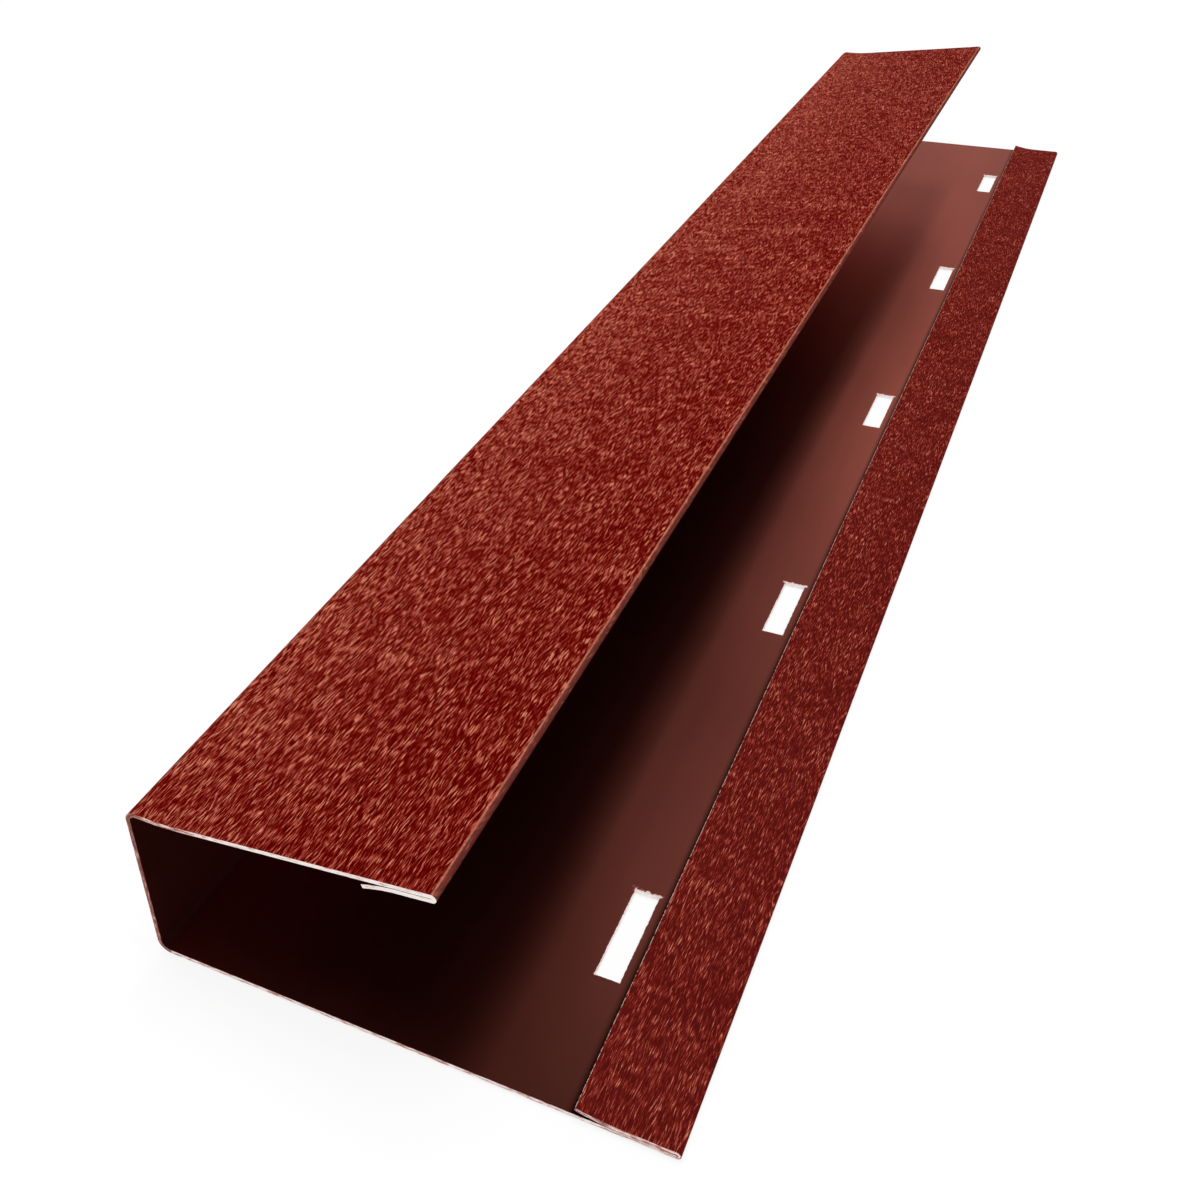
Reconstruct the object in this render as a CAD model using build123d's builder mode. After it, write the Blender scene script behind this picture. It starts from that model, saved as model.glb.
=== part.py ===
# Roof edge trim: one length of colour-coated sheet steel, folded to a J-shaped section.
# It lies on its nail flange, which runs along Y. The web stands at -X and carries the face
# flange over the channel. Both long edges are folded back into hems, with the coated face
# of the sheet outward on every fold.
import os
from math import acos, atan2, cos, degrees, hypot, radians, sin

from build123d import *

# Sheet, and the length it is cut to
sheet_thickness = 0.8
trim_length = 480.0

# Section, measured over the coated face
nail_flange_width = 95.0
web_height = 34.8
face_flange_width = 56.5

# Folds at the foot of the web and at the crest: inside radius, and angle the sheet turns
foot_radius = 1.6
foot_angle = 92.0
crest_radius = 1.4
face_rise = 7.3

# The face flange leaves the crest pressed in, and curves back to its own slope
press_in_angle = 10.0
press_in_length = 8.5

# Hems: inside radius of the bow, gap where the leg is pinched, and the lip that springs open
hem_radius = 0.05
hem_pinch = 0.1
nail_hem_depth = 17.0
nail_lip_length = 8.0
face_hem_depth = 12.6
face_lip_length = 6.0
lip_angle = 14.0

# Row of punched nail slots, with the sheet that has to stay beyond the last one
slot_length = 19.5
slot_width = 4.5
slot_pitch = 100.0
slot_setback = 21.5
first_slot = 34.5
slot_land = 25.0

# Sizes that follow from these
foot_outside = foot_radius + sheet_thickness
crest_outside = crest_radius + sheet_thickness
hem_outside = hem_radius + sheet_thickness
crest_angle = 180.0 - foot_angle - face_rise + press_in_angle
press_in_radius = press_in_length / radians(press_in_angle)
nail_flat = nail_flange_width - foot_outside - hem_outside
web_lean = radians(foot_angle - 90.0)
web_ends = foot_outside * (1 + sin(web_lean)) + crest_outside * (1 - sin(web_lean))
web_flat = (web_height - web_ends) / cos(web_lean)
face_flat = face_flange_width - crest_outside - press_in_length - hem_outside
foot_point = foot_outside - nail_flange_width / 2
slot_line = nail_flange_width / 2 - slot_setback
slot_count = 1 + int((trim_length - first_slot - slot_land) // slot_pitch)
slot_row_middle = first_slot + (slot_count - 1) * slot_pitch / 2 - trim_length / 2


def folded_hem(run, turn, depth, hem_depth, lip_length):
    """Fold the sheet back at the end of run: bow, pinched leg and lip. Gives the free edge."""
    leg_length = hem_depth - hem_outside - lip_length
    lip_radius = lip_length / radians(lip_angle)
    lip_outside = lip_radius + sheet_thickness
    # The leg's inner face is the line that touches both the bow and a lip held off by the pinch
    span = lip_outside + hem_radius
    clear = lip_outside - hem_radius + hem_pinch
    closing = acos(clear / hypot(span, leg_length)) - atan2(leg_length, span)
    bow = JernArc(run @ 1, run % 1, hem_outside - depth, turn * (180 + degrees(closing)))
    leg = PolarLine(bow @ 1, leg_length, direction=bow % 1)
    lip = JernArc(leg @ 1, leg % 1, lip_radius + depth, -turn * lip_angle)
    return lip @ 1


def sheet_face(depth):
    """Draw the section's line at a depth below the coated face. Gives its two free edges."""
    start = (foot_point, depth)
    nail = PolarLine(start, nail_flat, 0)
    nail_edge = folded_hem(nail, 1, depth, nail_hem_depth, nail_lip_length)
    foot = JernArc(start, (-1, 0), foot_outside - depth, -foot_angle)
    web = PolarLine(foot @ 1, web_flat, direction=foot % 1)
    crest = JernArc(web @ 1, web % 1, crest_outside - depth, -crest_angle)
    press_in = JernArc(crest @ 1, crest % 1, press_in_radius + depth, press_in_angle)
    face = PolarLine(press_in @ 1, face_flat, direction=press_in % 1)
    face_edge = folded_hem(face, -1, depth, face_hem_depth, face_lip_length)
    return nail_edge, face_edge


# The folded sheet, drawn as its two faces and its two free edges, then run to length
with BuildPart() as trim:
    with BuildSketch(Plane.XZ):
        with BuildLine():
            coated_nail_edge, coated_face_edge = sheet_face(0)
            inner_nail_edge, inner_face_edge = sheet_face(sheet_thickness)
            Line(coated_nail_edge, inner_nail_edge)
            Line(coated_face_edge, inner_face_edge)
        make_face()
    extrude(amount=trim_length / 2, both=True)
    # Nail slots, punched along the nail flange just inside its hem
    with BuildSketch(Plane.XY):
        with Locations((slot_line, slot_row_middle)):
            with GridLocations(slot_pitch, slot_pitch, 1, slot_count):
                Rectangle(slot_width, slot_length)
    extrude(amount=2 * sheet_thickness, both=True, mode=Mode.SUBTRACT)

trim.part.label = "folded_trim"
os.makedirs("parts", exist_ok=True)
export_step(trim.part, "parts/folded_trim.step")
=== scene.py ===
from collections import namedtuple
from math import acos, atan2, cos, hypot, pi, radians, sin

import bpy
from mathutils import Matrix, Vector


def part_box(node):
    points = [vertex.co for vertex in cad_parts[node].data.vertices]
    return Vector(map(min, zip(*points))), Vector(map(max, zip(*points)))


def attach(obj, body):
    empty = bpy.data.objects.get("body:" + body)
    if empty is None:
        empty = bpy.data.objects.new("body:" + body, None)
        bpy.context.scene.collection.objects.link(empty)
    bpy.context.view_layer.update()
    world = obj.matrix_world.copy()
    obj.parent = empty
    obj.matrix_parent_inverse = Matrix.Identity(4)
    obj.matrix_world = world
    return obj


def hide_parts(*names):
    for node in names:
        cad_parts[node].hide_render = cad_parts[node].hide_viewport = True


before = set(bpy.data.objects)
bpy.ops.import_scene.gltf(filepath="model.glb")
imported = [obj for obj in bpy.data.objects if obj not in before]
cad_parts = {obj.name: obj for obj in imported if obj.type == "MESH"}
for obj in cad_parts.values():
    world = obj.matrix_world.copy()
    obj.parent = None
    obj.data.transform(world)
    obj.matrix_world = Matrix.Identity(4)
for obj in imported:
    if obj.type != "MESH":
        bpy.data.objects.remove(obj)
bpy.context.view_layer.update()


# The trim is one length of thin steel sheet, coated wine red on its face and lacquered brown on
# its back. It is cut flat, punched with a row of nail slots along one flange, and then folded in
# a press brake, hems first, with the coated face outward on every fold.
MM = 0.001
trim_low, trim_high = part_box("folded_trim")
trim_length = trim_high.y - trim_low.y
nail_flange_width = trim_high.x - trim_low.x
sheet_thickness = 0.8 * MM
web_height = 34.8 * MM
face_flange_width = 56.5 * MM
foot_radius = 1.6 * MM
foot_angle = radians(92.0)
crest_radius = 1.4 * MM
face_rise = radians(7.3)
press_in_angle = radians(10.0)
press_in_length = 8.5 * MM
hem_radius = 0.05 * MM
hem_pinch = 0.1 * MM
nail_hem_depth = 17.0 * MM
nail_lip_length = 8.0 * MM
face_hem_depth = 12.6 * MM
face_lip_length = 6.0 * MM
lip_angle = radians(14.0)
slot_length = 19.5 * MM
slot_width = 4.5 * MM
slot_pitch = 100.0 * MM
slot_setback = 21.5 * MM
first_slot = 34.5 * MM
slot_land = 25.0 * MM

foot_outside = foot_radius + sheet_thickness
crest_outside = crest_radius + sheet_thickness
hem_outside = hem_radius + sheet_thickness
crest_angle = pi - foot_angle - face_rise + press_in_angle
press_in_radius = press_in_length / press_in_angle
foot_line = foot_outside - nail_flange_width / 2
slot_line = nail_flange_width / 2 - slot_setback
slot_row_start = first_slot - trim_length / 2
slot_count = 1 + int((trim_length - first_slot - slot_land) // slot_pitch)


# The blank is laid out as a sheet-metal worker does it: a line where each bend starts, going out
# from the foot of the web to the two free edges. A bend's length is taken at mid-thickness, and it
# is divided into strips that make it round.
Bend = namedtuple("Bend", "side line angle inside_radius length strips")
fold_strips = 12
press_in_strips = 8
bow_strips = 16
lip_strips = 6


def hem_steps(run, hem_depth, lip_length):
    """The bow at the end of a flat run, and the pinched leg with its sprung lip."""
    leg = hem_depth - hem_outside - lip_length
    lip_radius = lip_length / lip_angle
    span = lip_radius + sheet_thickness + hem_radius
    clear = lip_radius + sheet_thickness - hem_radius + hem_pinch
    closing = acos(clear / hypot(span, leg)) - atan2(leg, span)
    return [(run, pi + closing, hem_radius, bow_strips), (leg, -lip_angle, lip_radius, lip_strips)]


def lay_out(side, steps):
    """Bends in order from the foot outward, and the place of the free edge."""
    place = foot_line
    bends = []
    for run, angle, inside_radius, strips in steps:
        line = place + side * run
        length = abs(angle) * (inside_radius + sheet_thickness / 2)
        bends.append(Bend(side, line, angle, inside_radius, length, strips))
        place = line + side * length
    return bends, place


def middle_of(bend):
    """The line halfway through a bend, where the fold is sharpest to the eye."""
    return bend.line + bend.side * bend.length / 2


web_lean = foot_angle - pi / 2
web_ends = foot_outside * (1 + sin(web_lean)) + crest_outside * (1 - sin(web_lean))
web_run = (web_height - web_ends) / cos(web_lean)
nail_run = nail_flange_width - foot_outside - hem_outside
face_run = face_flange_width - crest_outside - press_in_length - hem_outside
nail_bends, nail_edge = lay_out(1, hem_steps(nail_run, nail_hem_depth, nail_lip_length))
face_bends, face_edge = lay_out(-1, [
    (0.0, foot_angle, foot_radius, fold_strips),
    (web_run, crest_angle, crest_radius, fold_strips),
    (0.0, -press_in_angle, press_in_radius, press_in_strips),
    *hem_steps(face_run, face_hem_depth, face_lip_length),
])
nail_bow = nail_bends[0]
foot_fold = face_bends[0]
crest_fold = face_bends[1]
face_bow = face_bends[3]

support = 0.2 * MM
closest_lines = support / 10
lines_across = {nail_edge, face_edge}
for bend in nail_bends + face_bends:
    lines_across.add(bend.line - bend.side * support)
    lines_across.add(bend.line + bend.side * (bend.length + support))
    for strip in range(bend.strips + 1):
        lines_across.add(bend.line + bend.side * bend.length * strip / bend.strips)
columns = []
for line in sorted(lines_across):
    if face_edge <= line <= nail_edge and (not columns or line - columns[-1] > closest_lines):
        columns.append(line)
lengthwise_panels = 48
rows = [trim_length * (panel / lengthwise_panels - 0.5) for panel in range(lengthwise_panels + 1)]


def flat_sheet(columns, rows, thickness):
    """A closed flat sheet with its coated face down, divided at the given lines."""
    wide = len(columns)
    layer = wide * len(rows)
    places = [(x, y, z) for z in (0.0, thickness) for y in rows for x in columns]
    faces = []
    for row in range(len(rows) - 1):
        for column in range(wide - 1):
            corner = row * wide + column
            down = (corner, corner + wide, corner + wide + 1, corner + 1)
            faces.append(down)
            faces.append(tuple(point + layer for point in reversed(down)))
    rim = list(range(wide))
    rim += [row * wide + wide - 1 for row in range(1, len(rows))]
    rim += [layer - 1 - column for column in range(1, wide)]
    rim += [row * wide for row in range(len(rows) - 2, 0, -1)]
    for here, there in zip(rim, rim[1:] + rim[:1]):
        faces.append((here, there, there + layer, here + layer))
    mesh = bpy.data.meshes.new("flat_blank")
    mesh.from_pydata(places, [], faces)
    return mesh


class Wire:
    """A value in a node tree. Arithmetic on it adds Math nodes, and node() adds any other node."""

    def __init__(self, tree, socket=None):
        self.tree = tree
        self.socket = socket

    def node(self, kind, inputs, **settings):
        """Add a node, its settings first and then the values or wires of its input sockets."""
        made = self.tree.nodes.new(kind)
        stops = settings.pop("stops", ())
        for name, setting in settings.items():
            setattr(made, name, setting)
        for number, (position, colour) in enumerate(stops):
            if number > 1:
                made.color_ramp.elements.new(position)
            made.color_ramp.elements[number].position = position
            made.color_ramp.elements[number].color = colour
        for name, value in inputs.items():
            if isinstance(value, Wire):
                self.tree.links.new(value.socket, made.inputs[name])
            else:
                made.inputs[name].default_value = value
        shown = [socket for socket in made.outputs if socket.enabled]
        return Wire(self.tree, shown[0] if shown else None)

    def out(self, name):
        """Another output of the node that this value comes from."""
        return Wire(self.tree, self.socket.node.outputs[name])

    def maths(self, operation, *others):
        """A Math node on this value and the others."""
        return self.node("ShaderNodeMath", dict(enumerate((self, *others))), operation=operation)

    def between(self, low, high):
        """The value, held between two limits."""
        return self.maths("MAXIMUM", low).maths("MINIMUM", high)

    def swing(self, depth):
        """Noise about 0.5 turned into a swing about 0, of the given depth in all."""
        return (self - 0.5) * depth

    def rising(self, start, slope):
        """0 up to the start, then rising with the slope to 1."""
        return ((self - start) * slope).between(0.0, 1.0)

    def close_to(self, line, reach):
        """1 on the line, falling to 0 at the reach on both sides of it."""
        return (1 - abs(self - line) / reach).between(0.0, 1.0)

    def up_to(self, line, reach):
        """1 from the line on, and falling to 0 over the reach before it."""
        return (1 + (self - line) / reach).between(0.0, 1.0)

    def __add__(self, other):
        return self.maths("ADD", other)

    def __sub__(self, other):
        return self.maths("SUBTRACT", other)

    def __rsub__(self, other):
        return self.node("ShaderNodeMath", {0: other, 1: self}, operation="SUBTRACT")

    def __mul__(self, other):
        return self.maths("MULTIPLY", other)

    def __truediv__(self, other):
        return self.maths("DIVIDE", other)

    def __gt__(self, other):
        return self.maths("GREATER_THAN", other)

    def __lt__(self, other):
        return self.maths("LESS_THAN", other)

    def __abs__(self):
        return self.maths("ABSOLUTE")

    __radd__ = __add__
    __rmul__ = __mul__


def shape_tree(name, numbers):
    """A tree that changes the sheet's shape, with the numbers that it takes as named inputs."""
    tree = bpy.data.node_groups.new(name, "GeometryNodeTree")
    tree.interface.new_socket("Sheet", in_out="INPUT", socket_type="NodeSocketGeometry")
    for label in numbers:
        tree.interface.new_socket(label, in_out="INPUT", socket_type="NodeSocketFloat")
    tree.interface.new_socket("Sheet", in_out="OUTPUT", socket_type="NodeSocketGeometry")
    return tree, Wire(tree).node("NodeGroupInput", {})


# One bend: sheet past the line is wrapped round the tool, up for a positive angle and down for a
# negative one, and what lies beyond the bend swings with it.
fold_tree, given = shape_tree("fold_sheet", ("Side", "Line", "Angle", "Inside radius", "Thickness"))
side = given.out("Side")
line = given.out("Line")
angle = given.out("Angle")
inside_radius = given.out("Inside radius")
thickness = given.out("Thickness")
place = given.node("ShaderNodeSeparateXYZ", {"Vector": given.node("GeometryNodeInputPosition", {})})
across = given.node("GeometryNodeInputNamedAttribute", {"Name": "across"}, data_type="FLOAT")
bend_length = abs(angle) * (inside_radius + thickness / 2)
wrapped = (side * (across - line)).between(0.0, bend_length)
turn = angle * wrapped / bend_length
centre = (angle > 0) * (2 * inside_radius + thickness) - inside_radius
reach = centre - place.out("Z")
beyond = side * (place.out("X") - line) - wrapped
outward = reach * turn.maths("SINE") + beyond * turn.maths("COSINE")
height = centre - reach * turn.maths("COSINE") + beyond * turn.maths("SINE")
folded = given.node("ShaderNodeCombineXYZ", {
    "X": line + side * outward,
    "Y": place.out("Y"),
    "Z": height,
})
moved = given.node("GeometryNodeSetPosition", {"Geometry": given.out("Sheet"), "Position": folded})
given.node("NodeGroupOutput", {"Sheet": moved})

# The whole job: punch the slots, mark each point with its place on the flat sheet and each face
# with what it is, fold from the free edges inward, and give each kind of face its finish.
COATED, LACQUERED, CUT = range(3)
press_sizes = {
    "Thickness": sheet_thickness,
    "Slot line": slot_line,
    "First slot": slot_row_start,
    "Slot pitch": slot_pitch,
    "Slot length": slot_length,
    "Slot width": slot_width,
    "Slots": slot_count,
}
press_tree, given = shape_tree("punch_and_fold", press_sizes)
thickness = given.out("Thickness")
slot_places = given.node("GeometryNodeMeshLine", {
    "Count": given.out("Slots"),
    "Start Location": given.node("ShaderNodeCombineXYZ", {
        "X": given.out("Slot line"),
        "Y": given.out("First slot"),
        "Z": thickness / 2,
    }),
    "Offset": given.node("ShaderNodeCombineXYZ", {"Y": given.out("Slot pitch")}),
}, mode="OFFSET")
punch_stroke = thickness * 4
punch = given.node("GeometryNodeMeshCube", {
    "Size": given.node("ShaderNodeCombineXYZ", {
        "X": given.out("Slot width"),
        "Y": given.out("Slot length"),
        "Z": punch_stroke,
    }),
})
punches = given.node("GeometryNodeInstanceOnPoints", {"Points": slot_places, "Instance": punch})
punches = given.node("GeometryNodeRealizeInstances", {"Geometry": punches})
sheet = given.node("GeometryNodeMeshBoolean", {"Mesh 1": given.out("Sheet"), "Mesh 2": punches},
                   operation="DIFFERENCE", solver="EXACT")

position = given.node("GeometryNodeInputPosition", {})
normal = given.node("GeometryNodeInputNormal", {})
facing = given.node("ShaderNodeSeparateXYZ", {"Vector": normal}).out("Z")
flat_facing = 0.5
kind = CUT + (facing < -flat_facing) * (COATED - CUT) + (facing > flat_facing) * (LACQUERED - CUT)
for name, value, domain, data_type in (
    ("across", given.node("ShaderNodeSeparateXYZ", {"Vector": position}), "POINT", "FLOAT"),
    ("flat", position, "POINT", "FLOAT_VECTOR"),
    ("kind", kind, "FACE", "INT"),
):
    sheet = given.node("GeometryNodeStoreNamedAttribute",
                       {"Geometry": sheet, "Name": name, "Value": value},
                       domain=domain, data_type=data_type)

for bend in nail_bends[::-1] + face_bends[::-1]:
    sheet = given.node("GeometryNodeGroup", {
        "Sheet": sheet,
        "Side": bend.side,
        "Line": bend.line,
        "Angle": bend.angle,
        "Inside radius": bend.inside_radius,
        "Thickness": thickness,
    }, node_tree=fold_tree)

sharp_edge = radians(30.0)
sheet = given.node("GeometryNodeSetShadeSmooth", {"Geometry": sheet, "Shade Smooth": True},
                   domain="FACE")
edge_angle = given.node("GeometryNodeInputMeshEdgeAngle", {})
sheet = given.node("GeometryNodeSetShadeSmooth", {
    "Geometry": sheet,
    "Selection": edge_angle > sharp_edge,
    "Shade Smooth": False,
}, domain="EDGE")
sheet = given.node("GeometryNodeRealizeInstances", {"Geometry": sheet})


def shown_colour(red, green, blue):
    """A colour as it looks on a screen, 0 to 255, in the renderer's linear units."""
    linear = []
    for level in (red / 255, green / 255, blue / 255):
        linear.append(level / 12.92 if level <= 0.04045 else ((level + 0.055) / 1.055) ** 2.4)
    return (*linear, 1.0)


def laid_over(under, share, colour):
    """One colour over another by a share from 0 to 1. A Mix node's colours are sockets 6 and 7."""
    return share.node("ShaderNodeMix", {0: share, 6: under, 7: colour}, data_type="RGBA")


def new_finish(name):
    """An empty material, the place on the flat sheet in millimetres, and its parts across and along."""
    material = bpy.data.materials.new(name)
    material.use_nodes = True
    material.node_tree.nodes.clear()
    start = Wire(material.node_tree)
    marked = start.node("ShaderNodeAttribute", {}, attribute_name="flat").out("Vector")
    flat = marked.node("ShaderNodeVectorMath", {0: marked, "Scale": 1 / MM}, operation="SCALE")
    place = flat.node("ShaderNodeSeparateXYZ", {"Vector": flat})
    return material, flat, place.out("X"), place.out("Y")


def noise_on(flat, cell, detail=2.0):
    """Noise from 0 to 1 about 0.5, with cells of the given size across, along and through the sheet."""
    stretched = flat.node("ShaderNodeVectorMath", {0: flat, 1: cell}, operation="DIVIDE")
    return flat.node("ShaderNodeTexNoise", {"Vector": stretched, "Scale": 1.0, "Detail": detail},
                     noise_dimensions="3D")


# The coat has fine raised fibres that lie along the sheet, coral on wine red, with a few bright needles
# and flecks. It is painted paler along the crest, a painted light. On the nail hem its fibres are
# painted lower under a pale haze, a painted shade with a painted sheen, and it is chipped at that hem's
# sheared lip. The bow of the face hem has a tan line, partly wear and partly a painted highlight, and
# past it painted grey-brown light.
coat, flat, across, along = new_finish("wine_red_fibrous_coat")
Layer = namedtuple("Layer", "cell slant start slope")
fibre_layers = [
    Layer(cell=(0.26, 2.7, 1.0), slant=0.15, start=0.54, slope=8.5),
    Layer(cell=(0.22, 2.1, 1.0), slant=-0.08, start=0.54, slope=8.5),
    Layer(cell=(0.29, 3.4, 1.0), slant=0.03, start=0.54, slope=8.5),
]
needle_layer = Layer(cell=(0.22, 4.2, 1.0), slant=0.1, start=0.70, slope=10.0)
fleck_layer = Layer(cell=(0.9, 2.4, 1.0), slant=0.0, start=0.69, slope=8.0)
patch_cell = (1.4, 7.0, 1.0)
patch_start = 0.2
patch_slope = 2.0
patch_dimmest = 0.2
grain_cell = (0.18, 1.8, 1.0)
grain_slant = 0.05
mottle_cell = (11.0, 14.0, 5.0)
sway_cell = (4.0, 8.0, 1.0)
sway_reach = 0.7
sway = noise_on(flat, sway_cell, detail=0.0).swing(sway_reach)


def leaning(slant):
    """The place on the sheet, moved across so that a pattern along it leans and sways."""
    shift = flat.node("ShaderNodeCombineXYZ", {"X": sway + along * slant})
    return flat.node("ShaderNodeVectorMath", {0: flat, 1: shift}, operation="ADD")


def raised(layer):
    """What stands up out of the coat in one layer, straight and tapered, from 0 to 1."""
    return noise_on(leaning(layer.slant), layer.cell, detail=0.0).rising(layer.start, layer.slope)


def raised_in_patches(layer):
    """The same, brighter in some patches than in others."""
    patches = noise_on(leaning(layer.slant), patch_cell, detail=1.0).rising(patch_start, patch_slope)
    return raised(layer) * patches.maths("MAXIMUM", patch_dimmest)


fibres = raised_in_patches(fibre_layers[0])
for layer in fibre_layers[1:]:
    fibres = fibres.maths("MAXIMUM", raised_in_patches(layer))
needles = raised(needle_layer)
flecks = raised(fleck_layer)
grain = noise_on(leaning(grain_slant), grain_cell)
mottle = noise_on(flat, mottle_cell)
# Painted light: the coat's pile is raised, so it is paler, near the crest.
crest_light_reach = 46.0
crest_light = across.close_to(middle_of(crest_fold) / MM, crest_light_reach)
# On the nail hem the fibres and flecks are painted lower, a painted shade, and a pale haze, a painted
# sheen, is laid over it.
on_nail_hem = across > nail_bow.line / MM

bare_coat = 0.08
fibre_height = 0.85
hem_fibre_shade = 0.18
needle_height = 0.35
fleck_height = 0.32
hem_fleck_shade = 0.2
grain_height = 2.3
mottle_height = 0.3
crest_light_height = 0.17
pile = bare_coat + fibres * (fibre_height - on_nail_hem * hem_fibre_shade) + needles * needle_height
pile = pile + flecks * (fleck_height - on_nail_hem * hem_fleck_shade) + crest_light * crest_light * crest_light_height
pile = pile + grain.swing(grain_height) + mottle.swing(mottle_height)
coat_colour = flat.node("ShaderNodeValToRGB", {"Fac": pile}, stops=[
    (0.08, shown_colour(80, 0, 0)),
    (0.28, shown_colour(97, 7, 3)),
    (0.45, shown_colour(115, 22, 15)),
    (0.66, shown_colour(142, 48, 37)),
    (0.88, shown_colour(180, 88, 70)),
    (1.00, shown_colour(206, 126, 98)),
])

painted_light_share = 0.06
bow_light_share = 0.75
bow_light_reach = 0.2
tan_line = 0.12
tan_reach = 0.15
tan_least = 0.1
chip_cell = (0.4, 0.8, 1.0)
chip_start = 0.4
chip_slope = 8.0
chip_reach = 0.1
past_bow = face_bow.line / MM - across
from_lip = nail_edge / MM - across
chips = noise_on(flat, chip_cell)
bow_light = past_bow.rising(tan_line, 1 / bow_light_reach) * bow_light_share
tan_wear_and_highlight = past_bow.close_to(tan_line, tan_reach) * (tan_least + chips)
chipped = (from_lip < chip_reach) * chips.rising(chip_start, chip_slope)
# Painted sheen: a pale haze over the nail hem.
coat_colour = laid_over(coat_colour, on_nail_hem * painted_light_share, shown_colour(136, 90, 82))
# Painted light: grey-brown laid over the bow past its tan line, where the bow turns away from the
# lamps.
coat_colour = laid_over(coat_colour, bow_light, shown_colour(108, 54, 48))
# The tan line on the bow is partly wear of the coat and partly a painted highlight.
coat_colour = laid_over(coat_colour, tan_wear_and_highlight, shown_colour(212, 138, 110))
coat_colour = laid_over(coat_colour, chipped, shown_colour(206, 168, 154))
coat_roughness = 0.9
pile_polish = 0.15
coat_bump = flat.node("ShaderNodeBump", {"Height": pile, "Strength": 0.35, "Distance": 0.06 * MM})
coat_shader = flat.node("ShaderNodeBsdfPrincipled", {
    "Base Color": coat_colour,
    "Roughness": coat_roughness - pile * pile_polish,
    "Specular IOR Level": 0.02,
    "Normal": coat_bump,
})
flat.node("ShaderNodeOutputMaterial", {"Surface": coat_shader})

# The back has a thin brown lacquer that lets the metal shine through, with faint roller marks. It has
# painted shade under the nail hem's lip, growing darker towards that lip, and in the fold at the foot,
# and the punch tore it to bright zinc round each slot.
lacquer, flat, across, along = new_finish("brown_back_lacquer")
roller_cell = (2.5, 120.0, 1.0)
cloud_cell = (18.0, 40.0, 5.0)
peel_cell = (1.2, 1.2, 1.0)
roller_depth = 0.4
roller_marks = noise_on(flat, roller_cell, detail=1.0)
clouds = noise_on(flat, cloud_cell)
shade = clouds + roller_marks.swing(roller_depth)
lacquer_colour = flat.node("ShaderNodeValToRGB", {"Fac": shade}, stops=[
    (0.2, shown_colour(144, 75, 64)),
    (0.8, shown_colour(154, 82, 70)),
])

# Painted shadow: a dark line on the lacquer under the nail hem's lip.
lip_shadow_start = 0.5
lip_shadow_reach = 1.4
lip_shadow_share = 0.85
# Painted shade: the lacquer grows darker over this reach towards the lip.
shade_to_lip_reach = 14.0
painted_light_share = 0.14
# Painted shade: the lacquer is darkened in the fold at the foot, most at the middle of the bend.
fold_reach = 1.6
fold_share = 0.6
lip_line = (nail_flange_width / 2 - nail_hem_depth) / MM - lip_shadow_start
lip_shadow = across.up_to(lip_line, lip_shadow_reach)
shade_to_lip = across.up_to(lip_line, shade_to_lip_reach)
in_fold = across.close_to(middle_of(foot_fold) / MM, fold_reach)
painted_shade = (lip_shadow * lip_shadow * lip_shadow_share + shade_to_lip * painted_light_share).maths("MAXIMUM", in_fold * fold_share)
# The painted shade under the lip, towards the lip and in the foot's fold is laid over the lacquer here.
lacquer_colour = laid_over(lacquer_colour, painted_shade, shown_colour(40, 20, 18))

side_tear = 0.2
end_tear = 0.9
tear_cell = (0.8, 0.8, 0.8)
tear_jag = 1.9
tear_setback = 0.45
fringe_start = -0.24
fringe_slope = 5.0
fringe_most = 0.8
torn_slope = 6.0
half_pitch = slot_pitch / MM / 2
half_slot = slot_length / MM / 2
from_slot = (along - slot_row_start / MM).maths("WRAP", -half_pitch, half_pitch)
past_side = abs(across - slot_line / MM) - slot_width / MM / 2
past_end = abs(from_slot) - half_slot
tear_reach = side_tear + (from_slot > half_slot - side_tear) * (end_tear - side_tear)
tears = noise_on(flat, tear_cell)
bare = tears * tear_jag - tear_setback - past_side.maths("MAXIMUM", past_end) / tear_reach
fringe = bare.rising(fringe_start, fringe_slope).maths("MINIMUM", fringe_most)
torn = bare.rising(0.0, torn_slope)
lacquer_colour = laid_over(lacquer_colour, fringe, shown_colour(170, 84, 66))
lacquer_colour = laid_over(lacquer_colour, torn, shown_colour(246, 232, 226))
metal_showing = 0.95
fringe_hiding = 0.9
lacquer_roughness = 0.28
cloud_roughness = 0.04
peel_bump = flat.node("ShaderNodeBump", {
    "Height": noise_on(flat, peel_cell) + roller_marks,
    "Strength": 0.02,
    "Distance": 0.03 * MM,
})
lacquer_shader = flat.node("ShaderNodeBsdfPrincipled", {
    "Base Color": lacquer_colour,
    "Metallic": metal_showing - fringe * fringe_hiding,
    "Roughness": lacquer_roughness + clouds * cloud_roughness,
    "Specular Tint": (0.68, 0.52, 0.50, 1.0),
    "Normal": peel_bump,
})
flat.node("ShaderNodeOutputMaterial", {"Surface": lacquer_shader})

# Where the sheet was cut the bare zinc and steel show. The shear dragged the coat over the edge, most
# on the web and the nail hem's lip, and left the face flange and the punched slots bright.
cut, flat, across, along = new_finish("sheared_edge")
streak_cell = (1.4, 1.4, 0.22)
smear_cell = (3.0, 3.0, 0.8)
drag_fade = 22.0
flange_dulling = 0.14
web_dulling = 0.26
hem_dulling = 0.12
lip_dulling = 0.2
streaks = noise_on(flat, streak_cell)
smears = noise_on(flat, smear_cell)
punched = abs(across - slot_line / MM) < slot_width / MM
punched = punched * (abs(along) < (trim_length / 2 - slot_width) / MM)
dragged = across.up_to(crest_fold.line / MM, drag_fade) * (1 - punched)
on_web = dragged * (across < foot_line / MM)
on_hem = across > nail_bow.line / MM
on_lip = across > (nail_edge - support) / MM
dulled = dragged * flange_dulling + on_web * web_dulling + on_hem * hem_dulling + on_lip * lip_dulling
clean_edge = 0.62
streak_depth = 1.1
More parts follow.
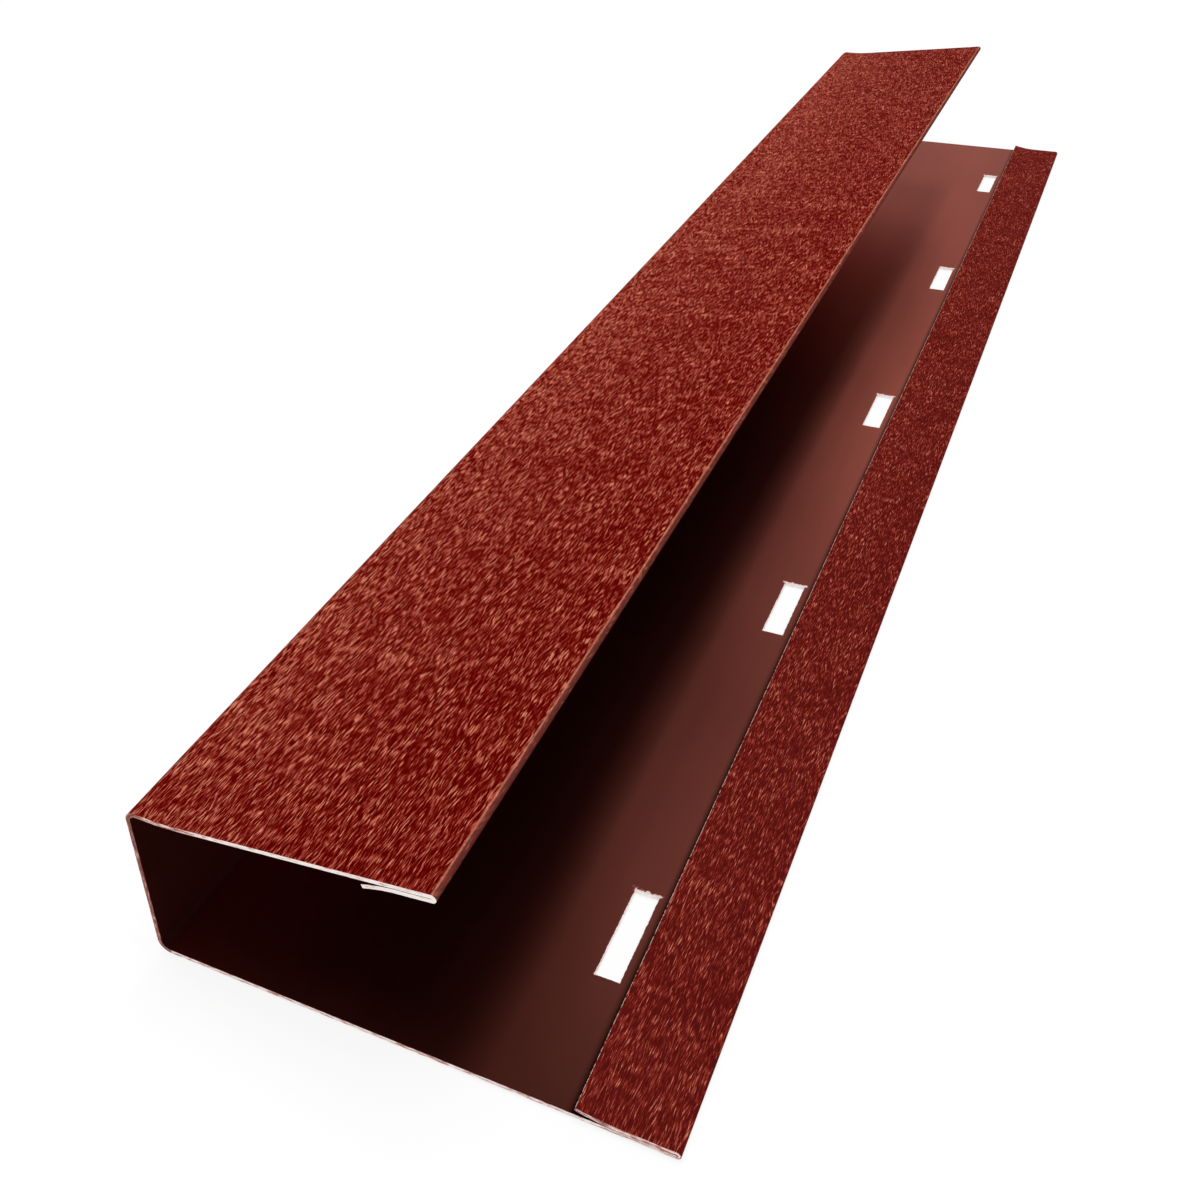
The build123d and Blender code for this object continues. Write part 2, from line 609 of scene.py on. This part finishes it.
smear_depth = 0.6
brightness = clean_edge - dulled + streaks.swing(streak_depth) + smears.swing(smear_depth)
edge_colour = flat.node("ShaderNodeValToRGB", {"Fac": brightness}, stops=[
    (0.15, shown_colour(118, 52, 44)),
    (0.32, shown_colour(188, 124, 110)),
    (0.50, shown_colour(238, 214, 208)),
    (0.65, shown_colour(252, 242, 238)),
])
edge_roughness = 0.34
streak_roughness = 0.2
streak_bump = flat.node("ShaderNodeBump", {"Height": streaks, "Strength": 0.3, "Distance": 0.04 * MM})
edge_shader = flat.node("ShaderNodeBsdfPrincipled", {
    "Base Color": edge_colour,
    "Metallic": 0.95,
    "Roughness": edge_roughness + streaks * streak_roughness,
    "Normal": streak_bump,
})
flat.node("ShaderNodeOutputMaterial", {"Surface": edge_shader})

# A Compare node takes its whole numbers at sockets 2 and 3
face_kind = given.node("GeometryNodeInputNamedAttribute", {"Name": "kind"}, data_type="INT")
for wanted, finish in ((COATED, coat), (LACQUERED, lacquer), (CUT, cut)):
    chosen = given.node("FunctionNodeCompare", {2: face_kind, 3: wanted},
                        data_type="INT", operation="EQUAL")
    sheet = given.node("GeometryNodeSetMaterial",
                       {"Geometry": sheet, "Selection": chosen, "Material": finish})
given.node("NodeGroupOutput", {"Sheet": sheet})

trim = bpy.data.objects.new("coated_trim", flat_sheet(columns, rows, sheet_thickness))
bpy.context.scene.collection.objects.link(trim)
press = trim.modifiers.new("press", "NODES")
press.node_group = press_tree
for item in press_tree.interface.items_tree:
    if item.in_out == "INPUT" and item.name in press_sizes:
        press[item.identifier] = float(press_sizes[item.name])
depsgraph = bpy.context.evaluated_depsgraph_get()
folded_mesh = bpy.data.meshes.new_from_object(
    trim.evaluated_get(depsgraph), preserve_all_data_layers=True, depsgraph=depsgraph)
trim.modifiers.clear()
trim.data = folded_mesh
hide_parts("folded_trim")
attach(trim, "root")


# The floor is a plain white studio sweep just under the trim. It keeps the trim's soft shadow, which
# fades out with distance, and throws little light back up into the channel.
floor_reach = 4.0
floor_gap = 0.3 * MM
floor_mesh = bpy.data.meshes.new("floor")
floor_mesh.from_pydata([
    (-floor_reach, -floor_reach, -floor_gap),
    (floor_reach, -floor_reach, -floor_gap),
    (floor_reach, floor_reach, -floor_gap),
    (-floor_reach, floor_reach, -floor_gap),
], [], [(0, 1, 2, 3)])
floor = bpy.data.objects.new("floor", floor_mesh)
bpy.context.scene.collection.objects.link(floor)


def grey(level):
    """A grey from 0, black, to 1, white, in the renderer's linear units."""
    return (level, level, level, 1.0)


shadow_fades_from = 0.9
shadow_ends_at = 2.0
shadow_depth = 0.16
floor_finish = bpy.data.materials.new("white_floor")
floor_finish.use_nodes = True
floor_finish.node_tree.nodes.clear()
start = Wire(floor_finish.node_tree)
ray = start.node("ShaderNodeLightPath", {})
seen = ray.out("Is Camera Ray").maths("MAXIMUM", ray.out("Is Glossy Ray"))
seen = seen.maths("MAXIMUM", ray.out("Is Transmission Ray"))
floor_place = start.node("ShaderNodeTexCoord", {}).out("Object")
shadow_share = start.node("ShaderNodeMapRange", {
    "Value": start.node("ShaderNodeVectorMath", {0: floor_place}, operation="LENGTH"),
    "From Min": shadow_fades_from,
    "From Max": shadow_ends_at,
    "To Min": shadow_depth,
    "To Max": 0.0,
})
white_floor = start.node("ShaderNodeMixShader", {
    0: shadow_share,
    1: start.node("ShaderNodeEmission", {"Color": grey(1.0), "Strength": 1.03}),
    2: start.node("ShaderNodeBsdfDiffuse", {"Color": grey(0.9)}),
})
dim_floor = start.node("ShaderNodeBsdfDiffuse", {"Color": grey(0.4)})
shader = start.node("ShaderNodeMixShader", {0: seen, 1: dim_floor, 2: white_floor})
start.node("ShaderNodeOutputMaterial", {"Surface": shader})
floor_mesh.materials.append(floor_finish)


# The lamps are one large soft box straight above, weaker ones beside the web, behind and beside the
# hem, and two narrow strip boxes high behind the far end, which are the ones that the lacquer mirrors.
def soft_box(name, place, wide, tall, power, mirrored=False):
    """An area lamp that faces the trim."""
    lamp = bpy.data.lights.new(name, "AREA")
    lamp.shape = "RECTANGLE"
    lamp.size = wide
    lamp.size_y = tall
    lamp.energy = power
    held = bpy.data.objects.new(name, lamp)
    held.location = place
    held.rotation_euler = held.location.to_track_quat("Z", "Y").to_euler()
    held.visible_camera = False
    held.visible_glossy = mirrored
    bpy.context.scene.collection.objects.link(held)


soft_box("overhead_box", (0.0, 0.0, 2.0), wide=1.3, tall=1.3, power=32.5)
soft_box("web_side_box", (-2.0, 0.3, 0.8), wide=1.2, tall=1.2, power=14.0)
soft_box("far_end_box", (-0.6, 2.0, 0.7), wide=1.2, tall=1.2, power=8.0)
soft_box("hem_side_box", (2.0, 0.2, 0.5), wide=1.0, tall=1.0, power=14.0)
soft_box("middle_strip", (-0.03, 2.05, 1.43), wide=0.30, tall=0.50, power=2.9, mirrored=True)
soft_box("high_strip", (-0.06, 1.40, 2.07), wide=0.43, tall=0.44, power=2.4, mirrored=True)


# The room is white to the camera and fills the shadows a little. The lacquer mirrors it as a grey room
# with a dark hood over the far end, and a bright band low on the far wall under the hood.
room = bpy.data.worlds.new("white_room")
bpy.context.scene.world = room
room.use_nodes = True
room.node_tree.nodes.clear()
start = Wire(room.node_tree)
ray = start.node("ShaderNodeLightPath", {})
toward = start.node("ShaderNodeSeparateXYZ", {
    "Vector": start.node("ShaderNodeTexCoord", {}).out("Generated"),
})
far_wall = start.node("ShaderNodeValToRGB", {"Fac": toward.out("Z")}, stops=[
    (0.10, grey(0.70)),
    (0.26, grey(1.0)),
    (0.34, grey(0.70)),
    (0.43, grey(0.18)),
    (0.52, grey(0.03)),
])
open_side = start.node("ShaderNodeMapRange", {
    "Value": toward.out("X"),
    "From Min": 0.1,
    "From Max": 0.4,
    "To Min": 1.25,
    "To Max": 0.02,
})
far_wall = start.node("ShaderNodeVectorMath", {0: far_wall, "Scale": open_side}, operation="SCALE")
hood_sides = []
for axis, open_at, hidden_at in (("Y", 0.0, 0.25), ("X", -0.65, -0.45), ("Z", 0.97, 0.90)):
    hood_sides.append(start.node("ShaderNodeMapRange", {
        "Value": toward.out(axis),
        "From Min": open_at,
        "From Max": hidden_at,
    }))
hood = hood_sides[0] * hood_sides[1] * hood_sides[2]
near_walls = grey(0.42)
shadow_fill = grey(0.08)
white = grey(1.0)
mirrored_room = laid_over(near_walls, hood, far_wall)
mirrored = ray.out("Is Glossy Ray").maths("MAXIMUM", ray.out("Is Transmission Ray"))
seen = laid_over(shadow_fill, mirrored, mirrored_room)
seen = laid_over(seen, ray.out("Is Camera Ray"), white)
start.node("ShaderNodeOutputWorld", {
    "Surface": start.node("ShaderNodeBackground", {"Color": seen, "Strength": 1.0}),
})


# The camera stands over the near end, to the right of the trim, and looks down along it. Its picture is
# shifted so that the whole trim fills the frame.
lens = bpy.data.cameras.new("camera")
lens.lens = 38.469
lens.sensor_width = 36.0
lens.shift_x = 0.07631
lens.shift_y = -0.02028
lens.clip_start = 0.01
camera = bpy.data.objects.new("camera", lens)
camera.location = (0.07371, -0.34034, 0.1814)
camera.rotation_euler = (radians(53.9838), radians(2.0672), radians(25.137))
bpy.context.scene.collection.objects.link(camera)
bpy.context.scene.camera = camera
bpy.context.scene.view_settings.view_transform = "Standard"
